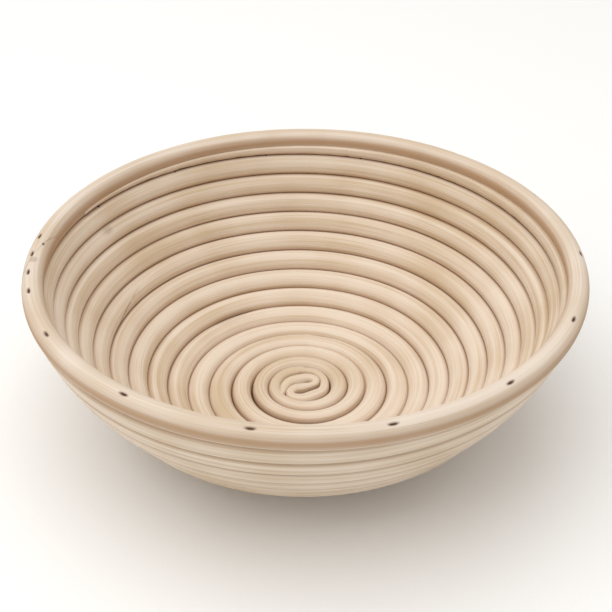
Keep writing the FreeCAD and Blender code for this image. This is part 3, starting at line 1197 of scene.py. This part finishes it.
@dataclass
class WallCane:
    """The second cane: spliced to the first, wound up the wall, and run out under the rim."""

    law: BowlLaw
    sweeper: CaneSweeper
    finish: PithFinish
    sides: int = 40
    steps_per_turn: int = 300
    sanded_outside: float = 1.5 * MM
    rise_under_ring: float = 2.4 * MM
    torn_turns: float = 0.62
    torn_depth: float = 0.16
    tail_runout: float = -0.03
    shift_lost: float = 0.4
    unevenness: float = 0.012
    wander: float = 0.12 * MM
    seed: float = 11.0
    name: str = "wall_cane_wound"

    def stations(self) -> Stations:
        """The places along the wall cane, from its splice to its tail.

        Returns:
            The stations.
        """
        law = self.law
        half = law.half_splice()
        first_turn = law.splice_turn - half
        last_turn = law.tail_turn + self.tail_runout
        count = int((last_turn - first_turn) * self.steps_per_turn)
        coil = np.linspace(first_turn, last_turn, count)
        radius, _ = law.radius_and_height(coil)
        full = law.wall_cane / 2
        cut = (coil - law.splice_turn) / half
        low = np.where(cut > 1.0, -FAR, -cut * full)
        torn = smooth_step(coil, law.tail_turn - self.torn_turns, law.tail_turn - self.torn_turns + 0.12)
        return Stations(
            turn=coil,
            half_width=law.even_half_width(coil),
            half_height=np.full(count, full),
            low=low,
            ragged=torn * self.torn_depth,
            drift=1.0 - self.shift_lost * smooth_step(coil, law.splice_turn, last_turn),
            along=np.r_[0.0, np.cumsum(radius[1:] * 2 * math.pi * np.diff(coil))],
        )

    def build(self) -> bpy.types.Object:
        """Builds and dresses the cane.

        Returns:
            The piece.
        """
        sizes = {
            "Unevenness": self.unevenness,
            "Wander": self.wander,
            "Seed": self.seed,
            "Sanded outside": self.sanded_outside,
            "Highest": self.law.seat_height + self.rise_under_ring,
        }
        piece = self.sweeper.sweep(self.name, self.stations(), self.finish.build(), self.sides, sizes)
        press_marks(piece, self.marks())
        return piece

    def marks(self) -> list[Mark]:
        """Torn spots and notches at the splice and the tail."""
        return [
            Mark(136.0, 100.0 * MM, 38.0 * MM, 5.0 * MM, 1.4 * MM, 0.5 * MM, 0.6),
            Mark(128.7, 113.0 * MM, 68.0 * MM, 3.0 * MM, 1.8 * MM, 0.5 * MM, 0.7),
            Mark(152.0, 110.0 * MM, 62.0 * MM, 4.0 * MM, 2.2 * MM, 0.1 * MM, 0.25),
        ]


@dataclass
class RimRing:
    """The third cane: bent into a level ring, its two ends scarfed together, and sanded smooth."""

    law: BowlLaw
    sweeper: CaneSweeper
    finish: PithFinish
    sides: int = 56
    steps: int = 1300
    scarf_azimuth: float = 180.0
    scarf_angle: float = 18.0
    scarf_gap: float = 0.15 * MM
    dip_azimuth: float = 168.0
    dip_angle: float = 62.0
    dip_depth: float = 1.5 * MM
    slot_half_length: float = 2.8 * MM
    slot_half_width: float = 0.95 * MM
    slot_depth: float = 0.5 * MM
    name: str = "rim_ring_bent"

    def stations(self) -> Stations:
        """The places round the ring, from one end of the scarf joint to the other.

        Returns:
            The stations.
        """
        law = self.law
        full = law.rim_cane / 2
        start = self.scarf_azimuth - self.scarf_angle / 2
        swept = np.linspace(0.0, 360.0 + self.scarf_angle, self.steps)
        azimuth = np.radians(start + swept)
        low_place = np.cos(azimuth - math.radians(self.dip_azimuth))
        dip = smooth_step(low_place, math.cos(math.radians(self.dip_angle)), 1.0) * self.dip_depth
        outward = np.c_[np.cos(azimuth), np.sin(azimuth), np.zeros(self.steps)]
        guide = outward * law.ring_radius
        guide[:, 2] = law.ring_height - dip / 2
        opening = np.clip(swept / self.scarf_angle, 0.0, 1.0)
        closing = np.clip((swept - 360.0) / self.scarf_angle, 0.0, 1.0)
        gap = self.scarf_gap / 2
        low = np.where(closing > 0.0, (2 * closing - 1.0) * full + gap, -FAR)
        high = np.where(opening < 1.0, (2 * opening - 1.0) * full - gap, FAR)
        return Stations(
            turn=np.zeros(self.steps),
            guide=guide,
            side=outward,
            guided=np.ones(self.steps),
            half_width=np.full(self.steps, full),
            half_height=full + dip / 2,
            low=low,
            high=high,
            along=np.radians(swept) * law.ring_radius,
        )

    def marks(self, heads: Sequence[Vector]) -> list[Mark]:
        """A sunk slot round each brad head, and the stains beside the scarf joint.

        Args:
            heads: Where the brads of the ring have their heads.

        Returns:
            The marks.
        """
        slots = []
        for head in heads:
            azimuth = math.degrees(math.atan2(head.y, head.x))
            radius = math.hypot(head.x, head.y)
            slots.append(Mark(azimuth, radius, head.z, self.slot_half_length, self.slot_half_width,
                              self.slot_depth, 1.0))
        inner = self.law.ring_radius - 2.0 * MM
        top = self.law.total_height - 0.6 * MM
        slots.append(Mark(176.5, inner, top, 1.0 * MM, 0.7 * MM, 0.2 * MM, 0.7))
        slots.append(Mark(183.0, self.law.ring_radius, top, 2.6 * MM, 2.0 * MM, 0.0, 0.25))
        return slots

    def build(self, heads: Sequence[Vector]) -> bpy.types.Object:
        """Builds and dresses the ring.

        Args:
            heads: Where the brads of the ring have their heads.

        Returns:
            The piece.
        """
        sizes = {"Unevenness": 0.008, "Wander": 0.0001, "Seed": 23.0, "Pressed": 0.0, "Flattened": 0.12}
        piece = self.sweeper.sweep(self.name, self.stations(), self.finish.build(), self.sides, sizes)
        press_marks(piece, self.marks(heads))
        return piece


# ---------------------------------------------------------------- brads


@dataclass
class Brads:
    """Brads cut from steel wire: a low head, a straight shank and a cut point."""

    finish: BradFinish
    head_radius: float = 0.6 * MM
    shank_radius: float = 0.5 * MM
    length: float = 15.0 * MM
    point_length: float = 1.6 * MM
    head_height: float = 0.4 * MM
    tree: bpy.types.NodeTree = field(init=False)

    def __post_init__(self) -> None:
        """Builds the tree that sets a brad at every point."""
        self.material = self.finish.build()
        self.tree = bpy.data.node_groups.new("brads_at_points", "GeometryNodeTree")
        name_sockets(self.tree, (), self._sizes())
        self._nodes()

    def _sizes(self) -> dict[str, float]:
        """The named sizes of a brad."""
        return {
            "Head radius": self.head_radius,
            "Shank radius": self.shank_radius,
            "Length": self.length,
            "Point length": self.point_length,
            "Head height": self.head_height,
        }

    def _nodes(self) -> None:
        """One brad lies along +Z from its head at zero, and is turned to each point's direction."""
        tree = self.tree
        start = add_node(tree, "NodeGroupInput")
        head_radius, shank_radius, length, point, head = [
            Formula(tree, start.outputs[name]) for name in self._sizes()
        ]
        shank_length = length - point - head
        nothing = Formula(tree, 0.0) + 0.0
        crown = add_node(
            tree, "GeometryNodeMeshCone", None,
            {
                "Vertices": 14, "Side Segments": 2, "Fill Segments": 2, "Depth": head.socket,
                "Radius Top": (head_radius * 0.86).socket, "Radius Bottom": head_radius.socket,
            },
        )
        crown_turned = add_node(
            tree, "GeometryNodeTransform", None,
            {0: crown.outputs[0], "Translation": arrow_of(nothing, nothing, head).socket,
             "Scale": (1.0, -1.0, -1.0)},
        )
        shank = add_node(
            tree, "GeometryNodeMeshCylinder", None,
            {"Vertices": 12, "Side Segments": 4, "Radius": shank_radius.socket,
             "Depth": shank_length.socket},
        )
        shank_place = head + shank_length * 0.5
        shank_moved = add_node(
            tree, "GeometryNodeTransform", None,
            {0: shank.outputs[0], "Translation": arrow_of(nothing, nothing, shank_place).socket},
        )
        tip = add_node(
            tree, "GeometryNodeMeshCone", None,
            {"Vertices": 12, "Side Segments": 2, "Depth": point.socket,
             "Radius Top": 0.00002, "Radius Bottom": shank_radius.socket},
        )
        tip_moved = add_node(
            tree, "GeometryNodeTransform", None,
            {0: tip.outputs[0], "Translation": arrow_of(nothing, nothing, length - point).socket},
        )
        whole = add_node(tree, "GeometryNodeJoinGeometry")
        for part in (crown_turned, shank_moved, tip_moved):
            tree.links.new(part.outputs[0], whole.inputs[0])
        way = add_node(
            tree, "GeometryNodeInputNamedAttribute", {"data_type": "FLOAT_VECTOR"}, {0: "direction"}
        )
        turned = add_node(
            tree, "FunctionNodeAlignRotationToVector", {"axis": "Z"}, {"Vector": way.outputs[0]}
        )
        copies = add_node(
            tree, "GeometryNodeInstanceOnPoints", None,
            {0: start.outputs[0], "Instance": whole.outputs[0], "Rotation": turned.outputs[0]},
        )
        real = add_node(tree, "GeometryNodeRealizeInstances", None, {0: copies.outputs[0]})
        dressed = add_node(
            tree, "GeometryNodeSetMaterial", None,
            {0: real.outputs[0], "Material": start.outputs["Material"]},
        )
        add_node(tree, "NodeGroupOutput", None, {0: dressed.outputs[0]})

    def seats(self, node: str) -> list[tuple[Vector, Vector]]:
        """Where the brads of a node are driven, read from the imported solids.

        Args:
            node: The node's name.

        Returns:
            Head and direction of each brad, the head being its outer or upper end.
        """
        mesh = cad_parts[node].data
        points = read_points(mesh)
        _, same = np.unique(np.round(points, 6), axis=0, return_inverse=True)
        joined = same.ravel()
        edges = np.array([tuple(edge.vertices) for edge in mesh.edges])
        pairs = joined[edges]
        changed = True
        label = np.arange(joined.max() + 1)
        while changed:
            least = np.minimum(label[pairs[:, 0]], label[pairs[:, 1]])
            before = label.copy()
            np.minimum.at(label, pairs[:, 0], least)
            np.minimum.at(label, pairs[:, 1], least)
            changed = bool((before != label).any())
        island = label[joined]
        seats = []
        for number in np.unique(island):
            cloud = points[island == number].astype(float)
            centre = (cloud.min(axis=0) + cloud.max(axis=0)) / 2
            _, _, axes = np.linalg.svd(cloud - cloud.mean(axis=0))
            reach = (cloud - centre) @ axes[0]
            ends = centre + axes[0] * reach.min(), centre + axes[0] * reach.max()
            head, foot = sorted(ends, key=lambda end: -math.hypot(end[0], end[1]) - end[2])
            seats.append((Vector(head), Vector(foot - head).normalized()))
        return seats

    def build(self, name: str, seats: Sequence[tuple[Vector, Vector]]) -> bpy.types.Object:
        """Drives a brad at every seat.

        Args:
            name: The piece's name.
            seats: Head and direction of each brad.

        Returns:
            The piece, one mesh of separate brads.
        """
        mesh = bpy.data.meshes.new(name + "_points")
        mesh.from_pydata([tuple(head) for head, _ in seats], [], [])
        way = mesh.attributes.new("direction", "FLOAT_VECTOR", "POINT")
        way.data.foreach_set("vector", [part for _, direction in seats for part in direction])
        seedling = link_object(name + "_points", mesh)
        inputs = {"Material": self.material, **self._sizes()}
        return grow(seedling, self.tree, inputs, name)


# ---------------------------------------------------------------- studio


@dataclass
class Studio:
    """Plain paper, soft light from above and to the left, and a camera above the front rim."""

    camera_place: tuple[float, float, float] = (0.0, -0.4678, 0.3789)
    camera_tilt: float = 55.21
    camera_yaw: float = -0.035
    camera_roll: float = 0.17
    lens: float = 73.0
    floor_size: float = 8.0
    sky_strength: float = 0.56
    key_power: float = 23.0
    key_size: float = 2.1
    key_place: tuple[float, float, float] = (-0.25, -0.05, 1.70)
    fill_power: float = 3.0
    fill_size: float = 1.2
    fill_place: tuple[float, float, float] = (-1.4, -0.5, 0.8)
    lamp_aim: tuple[float, float, float] = (0.0, 0.0, 0.03)
    sensor_width: float = 36.0
    nearest_seen: float = 0.01

    def build(self) -> None:
        """Builds the floor, the lights and the camera."""
        self._floor()
        self._sky()
        self._lamp("key_light", self.key_place, self.key_power, self.key_size)
        self._lamp("left_fill", self.fill_place, self.fill_power, self.fill_size)
        self._camera()
        bpy.context.scene.view_settings.view_transform = "Standard"

    def _floor(self) -> None:
        """A wide sheet of paper under the basket."""
        half = self.floor_size / 2
        mesh = bpy.data.meshes.new("studio_floor")
        corners = [(-half, -half, 0.0), (half, -half, 0.0), (half, half, 0.0), (-half, half, 0.0)]
        mesh.from_pydata(corners, [], [(0, 1, 2, 3)])
        mesh.materials.append(PaperFinish().build())
        floor = link_object("studio_floor", mesh)

    def _sky(self) -> None:
        """Even white light from all round."""
        world = bpy.data.worlds.new("studio_world")
        world.use_nodes = True
        background = world.node_tree.nodes["Background"]
        background.inputs["Color"].default_value = linear("FFFDFA")
        background.inputs["Strength"].default_value = self.sky_strength
        bpy.context.scene.world = world

    def _lamp(self, name: str, place: tuple[float, float, float], power: float, size: float) -> None:
        """A square soft light aimed at the basket.

        Args:
            name: Its name.
            place: Where it hangs.
            power: Its power in watts.
            size: The length of its side.
        """
        light = bpy.data.lights.new(name, "AREA")
        light.energy = power
        light.size = size
        lamp = link_object(name, light)
        lamp.location = place
        lamp.rotation_euler = (Vector(self.lamp_aim) - Vector(place)).to_track_quat("-Z", "Y").to_euler()

    def _camera(self) -> None:
        """The camera, looking down into the bowl over its front rim."""
        data = bpy.data.cameras.new("studio_camera")
        data.lens = self.lens
        data.sensor_width = self.sensor_width
        data.clip_start = self.nearest_seen
        camera = link_object("studio_camera", data)
        camera.location = self.camera_place
        turned = Matrix.Rotation(math.radians(self.camera_yaw), 3, "Z")
        turned = turned @ Matrix.Rotation(math.radians(self.camera_tilt), 3, "X")
        turned = turned @ Matrix.Rotation(math.radians(self.camera_roll), 3, "Z")
        camera.rotation_euler = turned.to_euler()
        bpy.context.scene.camera = camera


# ---------------------------------------------------------------- the whole basket


def install(piece: bpy.types.Object, node: str) -> None:
    """Puts a finished piece in the place of its CAD node.

    Args:
        piece: The piece.
        node: The node it stands for.
    """
    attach(piece, BODY)
    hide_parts(node)
    triangles = sum(len(face.vertices) - 2 for face in piece.data.polygons)
    LOG.info("%s stands for %s: %d triangles", piece.name, node, triangles)


def main() -> None:
    """Builds the basket and the studio, and puts every piece in its CAD node's place."""
    logging.basicConfig(level=logging.INFO, format="%(name)s: %(message)s")
    ring_low, ring_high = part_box("rim_ring_cane")
    law = BowlLaw(outer_diameter=ring_high.x - ring_low.x, total_height=ring_high.z)
    sweeper = CaneSweeper(law)
    brads = Brads(BradFinish())
    seats = {node: brads.seats(node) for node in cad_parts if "brad" in node}
    rim_heads = [head for node in ("rim_ring_brads", "rim_scarf_brads") for head, _ in seats[node]]

    coil_finish = PithFinish("rattan_pith_steamed_sanded", Shade.COIL)
    wall_finish = PithFinish("rattan_pith_wall_sanded", Shade.COIL)
    rim_finish = PithFinish("rattan_pith_rim_polished", Shade.RIM, roughness=0.64)
    install(BaseCane(law, sweeper, coil_finish).build(), "base_coil_cane")
    install(WallCane(law, sweeper, wall_finish).build(), "wall_coil_cane")
    install(RimRing(law, sweeper, rim_finish).build(rim_heads), "rim_ring_cane")
    for node, places in seats.items():
        install(brads.build(node + "_driven", places), node)
    Studio().build()


if __name__ == "__main__":
    main()
